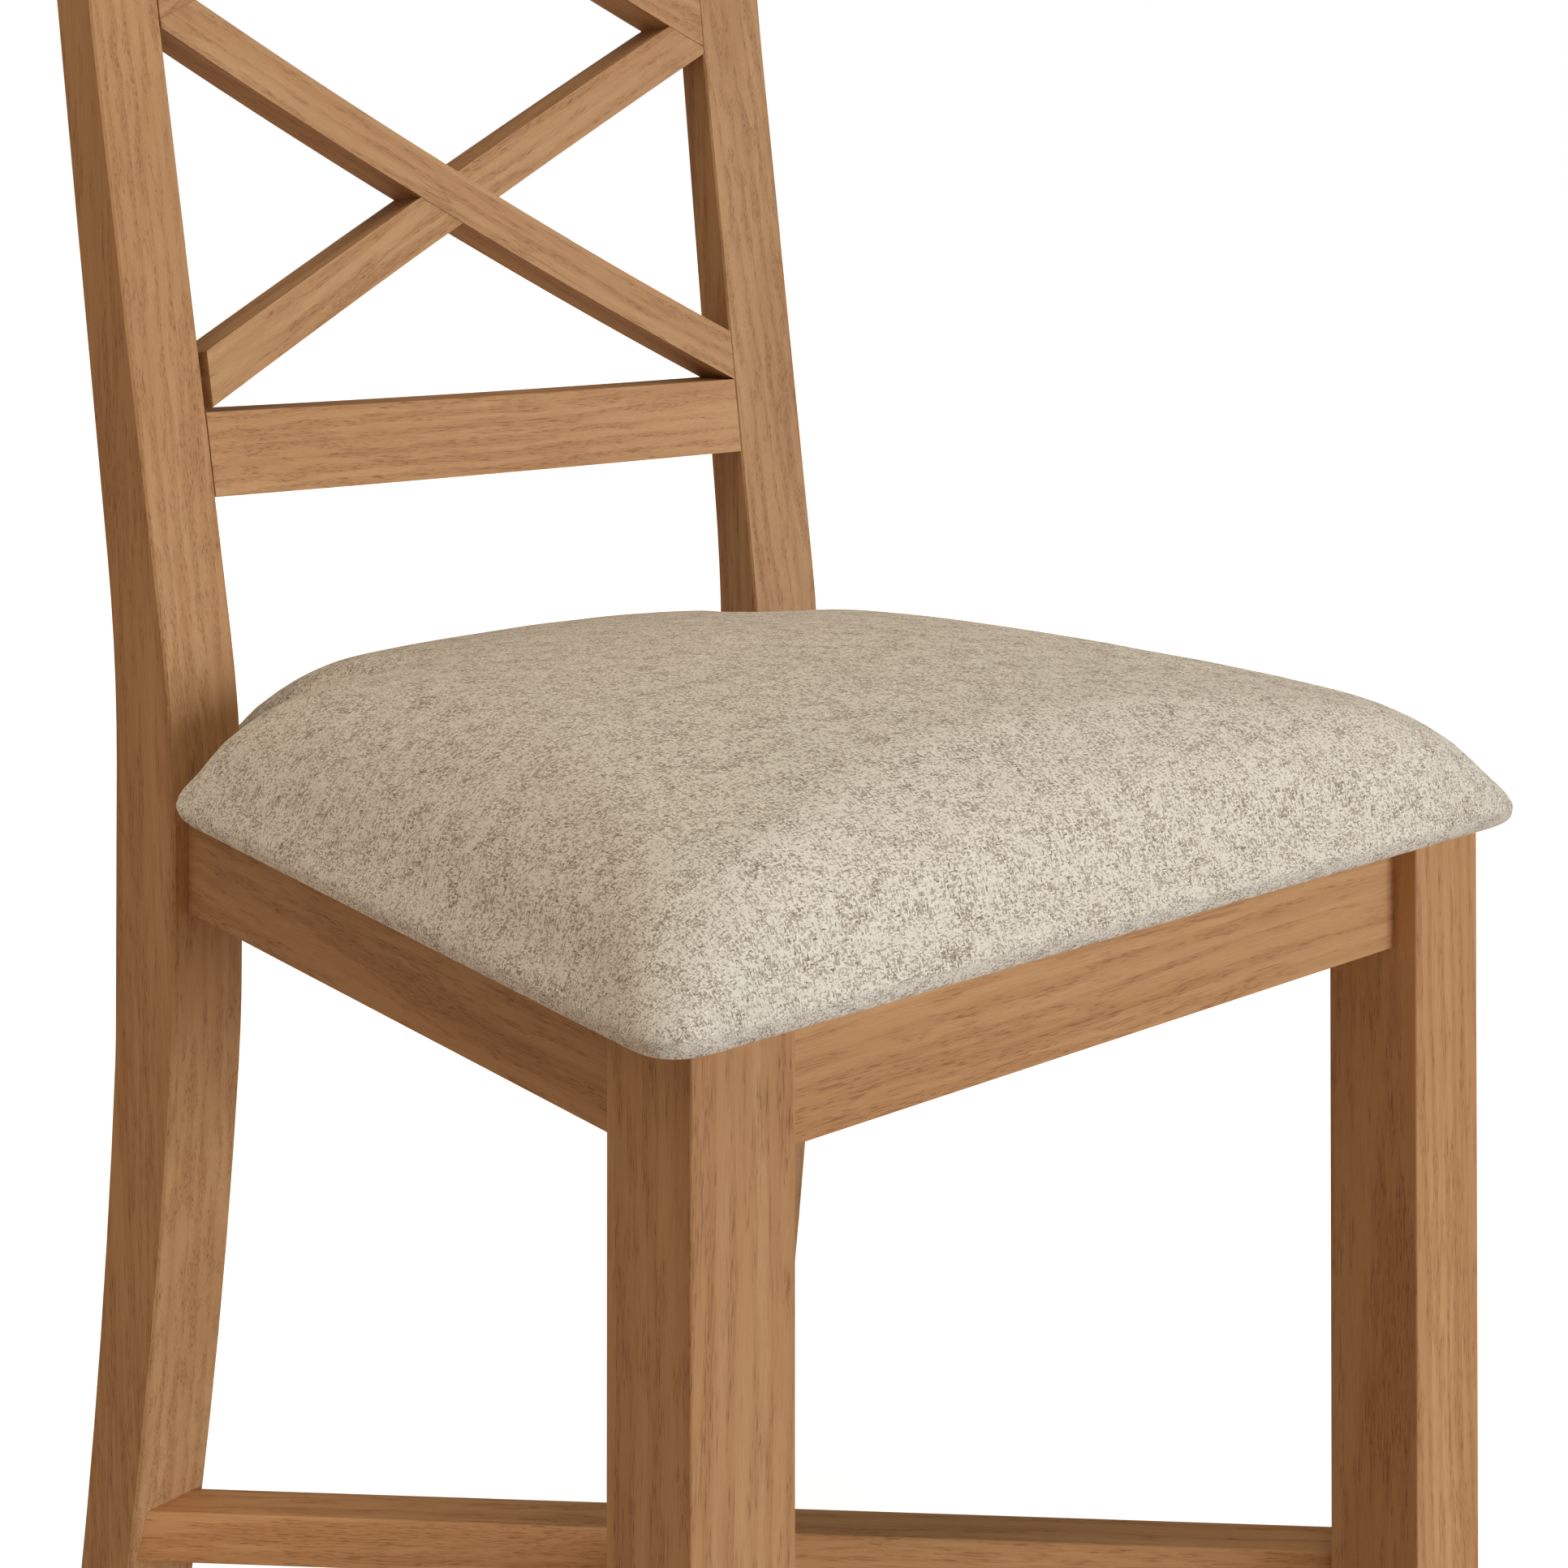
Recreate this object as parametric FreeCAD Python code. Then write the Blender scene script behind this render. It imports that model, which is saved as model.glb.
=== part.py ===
import FreeCAD, Part
import math
import os

Vector = FreeCAD.Vector

# Cross back dining chair, in millimetres. The chair faces -Y and stands on the floor at Z = 0.
# While it is modelled, Y = 0 is the front face of the front legs and X = 0 is the middle. At the end
# all pieces move together along Y, so that the origin lies under the middle of the whole chair.

# Seat frame
frame_width = 439.0            # across the outer faces of the front legs
leg_side = 45.0                # side of a square front leg
rail_underside = 370.0         # underside of the seat rails above the floor
rail_height = 46.0
rail_thickness = 20.0
front_rail_setback = 11.2      # front rail behind the front faces of the legs
side_rail_setback = 12.5       # side rail inside the outer face of the front leg
side_rail_inset = 7.7          # side rail from the outer corner of the rear post

# Rear posts: each is a leg and an upright sawn from one plank, turned a little in plan
post_setback = 397.4           # outer front corner of a post behind the front faces of the legs
post_spread = 386.6            # across the outer front corners of both posts, at the seat
post_turn = 9.8                # degrees that each post faces towards the middle
post_width = 38.8              # width of the plank
post_depth = 43.0              # depth of the straight part beside the seat
front_bend_height = 400.0      # where the front edge starts to lean back
front_bend_radius = 480.0
rear_bend_height = 432.0       # where the rear edge starts to lean back
rear_bend_radius = 600.0
front_rake = 10.9              # degrees of lean of the front edge behind the crosses
rear_rake = 8.9                # degrees of lean of the rear edge
easing_height = 760.0          # where the front edge eases towards its upper lean
easing_radius = 1500.0
upper_rake = 9.1               # degrees of lean of the front edge near the top
sabre_front_height = 340.0     # where the front edge of the rear leg leaves the upright line
sabre_front_turn = 4.9         # degrees of its first short bend
sabre_front_turn_radius = 540.0
sabre_front_radius = 2400.0    # long curve down to the foot
sabre_rear_height = 312.0
sabre_rear_turn = 3.2
sabre_rear_turn_radius = 300.0
sabre_rear_radius = 2560.0

# Back: rails and crossed braces on one bowed and raked surface between the posts
back_bow = 10.0                # the middle of the back lies this far behind the posts
back_rail_top = 590.0          # top of the lower back rail, at the posts
back_rail_height = 38.7
back_thickness = 26.0
crest_height = 72.0
crest_thickness = 24.0
brace_width = 23.0             # across a brace, square to its length
cross_pitch = 184.0            # one cross above the other
brace_reach = 4.0              # height of post that the upper end of a lower brace still touches
brace_dip = 3.7                # degrees that the edges of the braces fall towards the rear
brace_proud = 0.5              # the brace that runs over its partner stands out this much
foot_relief = 4.2              # the foot of the lower lapped brace stops this far from the post

# Stretchers under the seat
stretcher_side = 22.6          # square section
stretcher_top = 95.7           # upper face above the floor

# Joints
tenon_length = 15.0
tenon_thickness = 8.0          # of the seat rails
tenon_shoulder = 8.0           # above and below the tenon of a rail
back_tenon_thickness = 10.0
back_tenon_length = 13.0
brace_tenon_shoulder = 3.0     # above and below the tenon of a brace
tenon_root = 2.0               # a tenon of the back starts this far inside its own piece
joint_clearance = 0.1          # around a tenon in its mortise
mortise_spare = 1.0            # empty depth past the end of a tenon
dowel_diameter = 8.0
dowel_in_stretcher = 18.0
dowel_in_leg = 12.0

# Corner blocks and screws
block_width = 28.0
block_height = 30.0
block_drop = 6.0               # top of a block below the top of the rails
block_gap = 3.0                # from the inner corner of a leg or post
screw_diameter = 4.0
screw_head_diameter = 8.0
screw_head_height = 2.6
block_screw_length = 34.0
block_screw_inset = 16.0       # from the tip of the long side of a block
seat_screw_length = 46.0
screw_point = 4.0              # length of the pointed end
screw_tip_diameter = 1.0

# Glides under the feet
glide_diameter = 22.0
glide_thickness = 3.0
glide_edge = 0.8               # bevel round the lower rim
glide_pin_diameter = 2.5
glide_pin_length = 14.0

# Seat pad
pad_overhang_front = 15.1      # widest line of the pad in front of the legs
pad_overhang_side = 18.6       # widest line of the pad outside the front legs, at their rear faces
pad_rear_overhang = 13.3       # widest line of the pad outside the rear posts
pad_post_gap = 1.9             # pad in front of a post
pad_tongue_gap = 3.1           # pad beside a post, between the posts
pad_tongue_length = 61.5       # the pad runs this far back between the posts
pad_under = 10.6               # bottom edge of the pad inside its widest line
pad_corner_radius = 14.0       # front corners in plan, at the bottom edge
pad_outer_radius = 32.0        # corners in front of the posts, the same at every height
pad_inner_radius = 5.0         # inside corners of the notches round the posts
pad_tongue_radius = 12.0
pad_corner_growth = 0.5        # how much the radius of a front corner grows for each millimetre of rise
pad_rear_growth = 0.25         # the same for the notches and the tongue
pad_height = 73.5              # from the bottom edge to the middle of the crown
pad_crown_radius = 1440.0      # of the domed top
pad_clearance = 0.3            # soft pieces from their neighbours
cover_thickness = 1.8
cover_turn_under = 14.0        # fabric turned under the seat board
board_thickness = 12.0
board_gap = 0.8                # seat board inside the cover
cloth_thickness = 0.8
cloth_margin = 2.0

# Small round pieces and the pad are modelled with flat sides, which keeps them light
screw_sides = 10
pin_sides = 8
dowel_sides = 16
glide_sides = 24
pad_corner_sides = 8
dome_sides = 24
dome_rings = 9

# Softened edges
leg_round = 1.0
post_bevel = 1.0               # bevel along the curved edges of the posts
rail_round = 1.0
stretcher_round = 1.2

# Values that follow from the sizes above
half_width = frame_width / 2
leg_inner = half_width - leg_side
rail_top = rail_underside + rail_height
foot_height = glide_thickness
turn = math.radians(post_turn)
across_post = Vector(math.cos(turn), math.sin(turn), 0)
behind_post = Vector(-math.sin(turn), math.cos(turn), 0)
post_corner = Vector(-post_spread / 2, post_setback, 0)
inner_corner = post_corner + across_post * post_width
frame_reach = frame_width * 2
touching = 0.01                # points closer than this are taken as one
slope_step = 5.0               # the lean at a height is measured this far above and below it
end_spare = 12.0               # the planks of the posts start out longer than the posts


def mirrored(shape):
    """The same piece on the other side of the chair."""
    return shape.mirror(Vector(0, 0, 0), Vector(1, 0, 0))


def largest(shape):
    """The main solid of a shape that trimming has parted."""
    return max(shape.Solids, key=lambda solid: solid.Volume)


def plate(points, low, high):
    """A flat piece with the given outline in plan, between two heights."""
    corners = [Vector(point.x, point.y, low) for point in points]
    wire = Part.makePolygon(corners + corners[:1])
    return Part.Face(wire).extrude(Vector(0, 0, high - low))


def bar(start, end, left, right, low, high, spare_start, spare_end):
    """A straight bar in plan from start to end, from left of the line to right of it, made longer by
    the two spare lengths."""
    along = (end - start).normalize()
    side = Vector(along.y, -along.x, 0)
    first = start - along * spare_start
    last = end + along * spare_end
    outline = [first - side * left, last - side * left, last + side * right, first + side * right]
    return plate(outline, low, high)


def rounded(shape, edges, radius):
    """The shape with the chosen edges softened."""
    return shape.makeFillet(radius, edges)


def faceted(rings):
    """A solid of flat faces between rings that have the same number of points."""
    outlines = [rings[0], rings[-1]]
    for lower, upper in zip(rings, rings[1:]):
        for index in range(len(lower)):
            following = (index + 1) % len(lower)
            outlines.append([lower[index], lower[following], upper[following]])
            outlines.append([lower[index], upper[following], upper[index]])
    shell = Part.Shell([Part.Face(Part.makePolygon(outline + outline[:1])) for outline in outlines])
    shell.sewShape()
    solid = Part.Solid(shell)
    if solid.Volume < 0:
        solid.reverse()
    return solid.removeSplitter()


def turned(profile, sides, foot, along):
    """A small round piece with flat sides. The profile gives distances from the foot and radii there."""
    rings = []
    for distance, radius in profile:
        angles = [2 * math.pi * step / sides for step in range(sides)]
        rings.append([Vector(radius * math.cos(angle), radius * math.sin(angle), distance)
                      for angle in angles])
    piece = faceted(rings)
    piece.Placement = FreeCAD.Placement(foot, FreeCAD.Rotation(Vector(0, 0, 1), along))
    return piece


def upright_edges(shape):
    """Straight edges of the shape that stand upright."""
    picked = []
    for edge in shape.Edges:
        first = edge.Vertexes[0].Point
        last = edge.Vertexes[-1].Point
        level = math.hypot(last.x - first.x, last.y - first.y)
        if level < touching:
            picked.append(edge)
    return picked


class SideLine:
    """One edge of the rear post in side view: straight runs and tangent arcs. Lean is in degrees
    towards the rear, and way is 1 for an edge followed upwards or -1 for one followed downwards."""

    def __init__(self, depth, height, way):
        self.depth = depth
        self.height = height
        self.way = way
        self.lean = 0.0
        self.edges = []

    def point(self):
        return Vector(0, self.depth, self.height)

    def turn_through(self, lean, radius):
        start = math.radians(self.lean)
        end = math.radians(lean)
        self.depth += radius * abs(math.cos(start) - math.cos(end))
        self.height += self.way * radius * abs(math.sin(end) - math.sin(start))
        self.lean = lean

    def bend(self, lean, radius):
        first = self.point()
        self.turn_through((self.lean + lean) / 2, radius)
        middle = self.point()
        self.turn_through(lean, radius)
        self.edges.append(Part.Arc(first, middle, self.point()).toShape())

    def bend_to(self, height, radius):
        rise = abs(height - self.height) / radius
        self.bend(math.degrees(math.asin(math.sin(math.radians(self.lean)) + rise)), radius)

    def run_to(self, height):
        first = self.point()
        self.depth += abs(height - self.height) * math.tan(math.radians(self.lean))
        self.height = height
        self.edges.append(Part.LineSegment(first, self.point()).toShape())


def front_line(top):
    """Front edge of a post, from the seat rails up to the given height."""
    line = SideLine(0.0, rail_underside, 1)
    line.run_to(front_bend_height)
    line.bend(front_rake, front_bend_radius)
    line.run_to(easing_height)
    line.bend(upper_rake, easing_radius)
    line.run_to(top)
    return line


def face_depth(height):
    """How far the front edge of a post has leaned back at a height above the seat."""
    level = Part.makeLine(Vector(0, -post_depth, height), Vector(0, frame_width, height))
    gap, pairs, info = guide_wire.distToShape(level)
    return pairs[0][0].y


def corner_at(height):
    """Inner front corner of the right post at a height: half the clear width, and its Y."""
    corner = inner_corner + behind_post * face_depth(height)
    return Vector(-corner.x, corner.y, height)


def behind_back(height):
    """The direction square to the raked back at a height, towards the rear."""
    rise = 2 * slope_step
    lean = math.atan2(corner_at(height + slope_step).y - corner_at(height - slope_step).y, rise)
    return Vector(0, math.cos(lean), -math.sin(lean))


# The braces follow from the pitch of the crosses and from the clear width at both of their ends
post_line_spare = 60.0
brace_rise = cross_pitch - brace_reach
guide_top = back_rail_top + 2 * cross_pitch + crest_height + post_line_spare
guide_wire = Part.Wire(front_line(guide_top).edges)


def brace_slope(foot):
    """Slope in elevation of a brace whose lower edge starts at a height on one post."""
    run = corner_at(foot).x + corner_at(foot + brace_rise).x
    return brace_rise / run


def brace_band(foot):
    """Height of a brace, measured plumb."""
    return brace_width / math.cos(math.atan(brace_slope(foot)))


upper_foot = back_rail_top + cross_pitch
crest_bottom = upper_foot + brace_rise + brace_band(upper_foot)
crest_top = crest_bottom + crest_height
post_top = crest_top


def back_arc(height):
    """The bowed front line of the back, in the plane square to the raked posts at a height. It runs on
    past the posts, as far as the tenons need."""
    rearward = behind_back(height)
    end = corner_at(height)
    radius = (end.x ** 2 + back_bow ** 2) / (2 * back_bow)
    centre = Vector(0, end.y, end.z) + rearward * (back_bow - radius)
    reach = end.x + post_width
    edge_distance = math.sqrt(radius ** 2 - reach ** 2)
    left = centre + rearward * edge_distance - Vector(reach, 0, 0)
    right = centre + rearward * edge_distance + Vector(reach, 0, 0)
    middle = centre + rearward * radius
    return Part.Wire([Part.Arc(left, middle, right).toShape()])


def back_face():
    """The front surface on which rails and braces of the back lie."""
    stations = 7
    low = back_rail_top - back_rail_height - post_line_spare / 2
    high = crest_top + post_line_spare / 2
    arcs = [back_arc(low + (high - low) * step / (stations - 1)) for step in range(stations)]
    return Part.makeLoft(arcs, False, False).Faces[0]


def back_layer(start, end):
    """The part of the back's thickness from start to end, behind its front surface."""
    face = back_surface.copy()
    face.translate(Vector(0, start, 0))
    return face.extrude(Vector(0, end - start, 0))


def between_posts():
    """The space between the inner faces of the posts."""
    near = inner_corner - behind_post * post_depth
    far = inner_corner + behind_post * frame_width
    outline = [near, Vector(-near.x, near.y, 0), Vector(-far.x, far.y, 0), far]
    return plate(outline, rail_top, guide_top)


def elevation(lower, upper, dip):
    """A solid seen from the front with a lower and an upper edge, each given by three points from left
    to right, and running back level or with a dip."""
    fall = math.tan(math.radians(dip))
    reference = corner_at(back_rail_top).y
    ahead = 2 * post_depth
    depth = frame_width

    def brought_forward(point):
        return Vector(point.x, reference - ahead, point.z + (point.y - reference + ahead) * fall)

    low = [brought_forward(point) for point in lower]
    high = [brought_forward(point) for point in upper]
    edges = [
        Part.Arc(low[0], low[1], low[2]).toShape(),
        Part.LineSegment(low[2], high[2]).toShape(),
        Part.Arc(high[2], high[1], high[0]).toShape(),
        Part.LineSegment(high[0], low[0]).toShape(),
    ]
    return Part.Face(Part.Wire(edges)).extrude(Vector(0, depth, -depth * fall))


def back_points(left, right):
    """Three points of a line drawn straight across the bowed back, run on past both posts."""
    half_way = (left + right) * 0.5
    bow = behind_back(half_way.z) * back_bow
    share = post_width / (right.x - left.x)
    more = (right - left) * share
    past_end = bow * (-4 * share)
    return [left - more + past_end, half_way + bow, right + more + past_end]


def rail_outline(low, high):
    """Elevation of a level rail of the back between two heights at the posts."""
    right_low = corner_at(low)
    right_high = corner_at(high)
    lower = back_points(Vector(-right_low.x, right_low.y, low), right_low)
    upper = back_points(Vector(-right_high.x, right_high.y, high), right_high)
    return elevation(lower, upper, 0.0)


def post_zone(inboard, outboard, low, high):
    """A slice along the inner face of the left post, from inboard of it to inside the post."""
    near = inner_corner - behind_post * post_depth
    far = inner_corner + behind_post * frame_width
    outline = [near + across_post * inboard, near - across_post * outboard,
               far - across_post * outboard, far + across_post * inboard]
    return plate(outline, low, high)


def post_ends(outline, thickness, extra, zones):
    """What a piece of the back with this outline sends into the posts: its tenons, or with some extra
    all round their mortises. Zones are made by the caller, one for each end that has a tenon."""
    start = (thickness - back_tenon_thickness) / 2
    layer = back_layer(start - extra, start + back_tenon_thickness + extra)
    return [layer.common(outline.common(zone)) for zone in zones]


def both_zones(outboard):
    zone = post_zone(tenon_root, outboard, rail_top, guide_top)
    return [zone, mirrored(zone)]


def tenoned_rail(bottom, top, thickness):
    """A rail of the back with its tenons, and its mortises."""
    body = back_layer(0.0, thickness).common(rail_outline(bottom, top)).common(between_posts())
    outline = rail_outline(bottom + tenon_shoulder, top - tenon_shoulder)
    tenons = post_ends(outline, thickness, 0.0, both_zones(back_tenon_length))
    shoulder = tenon_shoulder - joint_clearance
    outline = rail_outline(bottom + shoulder, top - shoulder)
    reach = back_tenon_length + mortise_spare
    mortises = post_ends(outline, thickness, joint_clearance, both_zones(reach))
    return body.fuse(tenons), mortises


def brace_outline(foot, narrow):
    """Elevation of a brace that rises from the left post to the right post."""
    band = brace_band(foot)
    low = corner_at(foot)
    high = corner_at(foot + brace_rise)
    start = Vector(-low.x, low.y, foot)
    end = Vector(high.x, high.y, foot + brace_rise)
    lift = Vector(0, 0, narrow * band / brace_width)
    top = Vector(0, band * math.tan(math.radians(front_rake)), band)
    lower = back_points(start + lift, end + lift)
    upper = back_points(start + top - lift, end + top - lift)
    return elevation(lower, upper, brace_dip)


def brace(foot, falling, proud, relief, both_ends):
    """A brace with its tenons, before its half-lap, with its mortises and its elevation. It rises from
    the left post, or falls from it as the mirror image. The lower braces have a tenon at the foot only,
    because their upper ends stop under the upper braces."""
    outline = brace_outline(foot, 0.0)
    tenon_outline = brace_outline(foot, brace_tenon_shoulder)
    mortise_outline = brace_outline(foot, brace_tenon_shoulder - joint_clearance)
    body_zone = between_posts()
    middle = foot + (brace_rise + brace_band(foot)) / 2
    if relief > 0:
        body_zone = body_zone.cut(post_zone(relief, post_width, rail_top, middle))
    zones = []
    mortise_zones = []
    for reach, chosen in ((back_tenon_length, zones), (back_tenon_length + mortise_spare, mortise_zones)):
        chosen.append(post_zone(tenon_root + relief, reach, rail_top, middle))
        if both_ends:
            chosen.append(mirrored(post_zone(tenon_root, reach, middle, guide_top)))
    body = back_layer(-proud, back_thickness).common(outline).common(body_zone)
    tenons = post_ends(tenon_outline, back_thickness, 0.0, zones)
    mortises = post_ends(mortise_outline, back_thickness, joint_clearance, mortise_zones)
    if falling:
        outline = mirrored(outline)
        body = mirrored(body)
        tenons = [mirrored(piece) for piece in tenons]
        mortises = [mirrored(piece) for piece in mortises]
    return body.fuse(tenons), mortises, outline


def crossed(over, over_outline, under, under_outline, foot):
    """Two braces joined by a half-lap: the first keeps its front half at the crossing."""
    lap = back_thickness / 2
    low = foot + brace_rise / 4
    middle = Part.makeBox(frame_width / 2, frame_reach, brace_rise / 2 + brace_width,
                          Vector(-frame_width / 4, 0, low))
    front_half = back_layer(-back_bow, lap).common(over_outline.common(middle))
    rear_half = back_layer(lap, back_thickness + back_bow).common(under_outline.common(middle))
    return over.cut(rear_half), under.cut(front_half)


def long_plank():
    """The plank of the left post with sharp edges, a little longer than the post at both ends."""
    front_up = front_line(post_top + end_spare)
    rear_up = SideLine(post_depth, rail_underside, 1)
    rear_up.run_to(rear_bend_height)
    rear_up.bend(rear_rake, rear_bend_radius)
    rear_up.run_to(post_top + end_spare)
    rear_down = SideLine(post_depth, rail_underside, -1)
    rear_down.run_to(sabre_rear_height)
    rear_down.bend(sabre_rear_turn, sabre_rear_turn_radius)
    rear_down.bend_to(foot_height - end_spare, sabre_rear_radius)
    front_down = sabre_line()
    head = Part.LineSegment(front_up.point(), rear_up.point()).toShape()
    foot = Part.LineSegment(front_down.point(), rear_down.point()).toShape()
    edges = front_up.edges + rear_up.edges + front_down.edges + rear_down.edges + [head, foot]
    profile = Part.Face(Part.Wire(Part.__sortEdges__(edges)))
    plank = profile.extrude(Vector(post_width, 0, 0))
    plank.rotate(Vector(0, 0, 0), Vector(0, 0, 1), post_turn)
    plank.translate(post_corner)
    return plank


def cut_to_height(plank):
    """The plank between the foot and the top of the post."""
    corner = Vector(-frame_width, 0, foot_height)
    return plank.common(Part.makeBox(frame_reach, frame_reach, post_top - foot_height, corner))


def sabre_line():
    """Front edge of a post, from the seat rails down past its foot."""
    line = SideLine(0.0, rail_underside, -1)
    line.run_to(sabre_front_height)
    line.bend(sabre_front_turn, sabre_front_turn_radius)
    line.bend_to(foot_height - end_spare, sabre_front_radius)
    return line


def outside_edges(shape):
    """Edges of a plank where two of its long faces meet."""
    picked = []
    for edge in shape.Edges:
        first = edge.Vertexes[0].Point
        last = edge.Vertexes[-1].Point
        if abs(last.z - first.z) > end_spare:
            picked.append(edge)
    return picked


def leg_block():
    """The left front leg with sharp edges and no mortises."""
    corner = Vector(-half_width, 0, foot_height)
    return Part.makeBox(leg_side, leg_side, rail_top - foot_height, corner)


def seat_rail(start, end, left, right, trimmed_by):
    """A seat rail whose ends fit the legs it meets, with its tenons, and what its mortises need. Left and
    right are the places of its two faces beside the line from start to end."""
    body = bar(start, end, left, right, rail_underside, rail_top, tenon_thickness, tenon_thickness)
    edges = [edge for edge in body.Edges if edge.Length > post_depth * 2]
    lower = [edge for edge in edges if edge.CenterOfMass.z < rail_underside + touching]
    body = rounded(body, lower, rail_round)
    for piece in trimmed_by:
        body = largest(body.cut(piece))
    middle = (left - right) / 2
    half = tenon_thickness / 2
    low = rail_underside + tenon_shoulder
    high = rail_top - tenon_shoulder
    tenon = bar(start, end, middle + half, half - middle, low, high, tenon_length, tenon_length)
    half = half + joint_clearance
    reach = tenon_length + mortise_spare
    slot = bar(start, end, middle + half, half - middle, low - joint_clearance, high + joint_clearance,
               reach, reach)
    return body.fuse(tenon), slot


def stretcher_line():
    """Centre line of a stretcher, from the rear face of the right front leg, where it ends flush with the
    outer face, to the middle of the left post's front face."""
    sabre = Part.Wire(sabre_line().edges)
    height = stretcher_top - stretcher_side / 2
    level = Part.makeLine(Vector(0, -post_depth, height), Vector(0, frame_width, height))
    gap, pairs, info = sabre.distToShape(level)
    end = post_corner + across_post * (post_width / 2) + behind_post * pairs[0][0].y
    start = Vector(half_width, leg_side, 0)
    settling_rounds = 4
    for settling in range(settling_rounds):
        along = (end - start).normalize()
        start = Vector(half_width - stretcher_side / 2 / along.y, leg_side, 0)
    return start, end


def stretcher(post, leg):
    """A stretcher between the left post and the right front leg, before its half-lap, with the sharp bar
    that the lap is cut with."""
    start, end = stretcher_line()
    half = stretcher_side / 2
    low = stretcher_top - stretcher_side
    block = bar(start, end, half, half, low, stretcher_top, stretcher_side, stretcher_side)
    long_edges = [edge for edge in block.Edges if edge.Length > frame_width]
    body = rounded(block, long_edges, stretcher_round)
    behind_leg = Part.makeBox(frame_reach, frame_reach, rail_top, Vector(-frame_width, leg_side, 0))
    body = largest(body.common(behind_leg).cut(post))
    return body, block


def halved(over, over_block, under, under_block):
    """Two stretchers joined by a half-lap: the first keeps its upper half at the crossing."""
    middle = stretcher_top - stretcher_side / 2
    upper = Part.makeBox(frame_reach, frame_reach, stretcher_side, Vector(-frame_width, 0, middle))
    return over.cut(under_block.cut(upper)), under.cut(over_block.common(upper))


def stretcher_dowels():
    """The two dowels of the stretcher from the left post to the right front leg."""
    start, end = stretcher_line()
    along = (end - start).normalize()
    lift = Vector(0, 0, stretcher_top - stretcher_side / 2)
    profile = [(0.0, dowel_diameter / 2), (dowel_in_leg + dowel_in_stretcher, dowel_diameter / 2)]
    front = turned(profile, dowel_sides, start - along * dowel_in_leg + lift, along)
    rear = turned(profile, dowel_sides, end - along * dowel_in_stretcher + lift, along)
    return [front, rear]


def corner_block(corner, inward, inner_frame):
    """A block glued across a corner of the seat frame, square to the inward direction."""
    along = Vector(-inward.y, inward.x, 0)
    place = corner + inward * block_gap
    high = rail_top - block_drop
    strip = bar(place - along * frame_width, place + along * frame_width, 0.0, block_width,
                high - block_height, high, 0.0, 0.0)
    return largest(strip.common(inner_frame))


def screw(tip, head):
    """A countersunk wood screw with its head at one point and its tip at another."""
    length = (tip - head).Length
    profile = [
        (0.0, screw_head_diameter / 2),
        (screw_head_height, screw_diameter / 2),
        (length - screw_point, screw_diameter / 2),
        (length, screw_tip_diameter / 2),
    ]
    return turned(profile, screw_sides, head, tip - head)


def block_screws(block, inward):
    """Two screws from the long side of a corner block into the rails."""
    reach = max(vertex.Point.dot(inward) for vertex in block.Vertexes)
    tips = [vertex.Point for vertex in block.Vertexes if reach - vertex.Point.dot(inward) < touching]
    height = block.CenterOfMass.z
    first = min(tips, key=lambda point: point.x)
    last = max(tips, key=lambda point: point.x)
    first = Vector(first.x, first.y, height)
    last = Vector(last.x, last.y, height)
    along = (last - first).normalize()
    heads = [first + along * block_screw_inset, last - along * block_screw_inset]
    return [screw(head - inward * block_screw_length, head) for head in heads]


def seat_screw(block):
    """The screw that rises through a corner block into the seat board."""
    head = Vector(block.CenterOfMass.x, block.CenterOfMass.y, rail_top - block_drop - block_height)
    return screw(head + Vector(0, 0, seat_screw_length), head)


def glide_pin(foot):
    """The nail of a glide, up into the foot."""
    radius = glide_pin_diameter / 2
    profile = [(glide_edge, radius), (glide_thickness + glide_pin_length, radius)]
    return turned(profile, pin_sides, Vector(foot.x, foot.y, 0), Vector(0, 0, 1))


def glide(foot):
    """A glide under a foot: a disc with a bevelled rim and a nail."""
    radius = glide_diameter / 2
    profile = [(0.0, radius - glide_edge), (glide_edge, radius), (glide_thickness, radius)]
    return turned(profile, glide_sides, Vector(foot.x, foot.y, 0), Vector(0, 0, 1)).fuse(glide_pin(foot))


# Side view of the pad from its bottom edge to its shoulder: distance inside the widest line, and rise
# above the bottom edge. The last point lies above the domed top, which cuts the sides off.
pad_shoulder = [(pad_under, 0.0), (3.6, 3.6), (0.0, 8.5), (1.0, 14.5), (3.6, 20.0), (8.1, 27.0),
                (12.1, 32.6), (16.4, 38.0), (23.7, 44.0), (33.1, 50.0), (46.5, 56.0), (100.0, 75.0)]


def rounded_outline(corners, radii, height):
    """The points of an outline at a height, with corners rounded in a few flat stretches each."""
    points = []
    for index, corner in enumerate(corners):
        before = (corners[index - 1] - corner).normalize()
        after = (corners[(index + 1) % len(corners)] - corner).normalize()
        half_angle = before.getAngle(after) / 2
        centre = corner + (before + after).normalize() * (radii[index] / math.sin(half_angle))
        first = corner + before * (radii[index] / math.tan(half_angle)) - centre
        last = corner + after * (radii[index] / math.tan(half_angle)) - centre
        sweep = first.getAngle(last)
        ahead = (last - first * math.cos(sweep)) * (1 / math.sin(sweep))
        for step in range(pad_corner_sides + 1):
            angle = sweep * step / pad_corner_sides
            points.append(centre + first * math.cos(angle) + ahead * math.sin(angle))
    return [Vector(point.x, point.y, height) for point in points]


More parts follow.
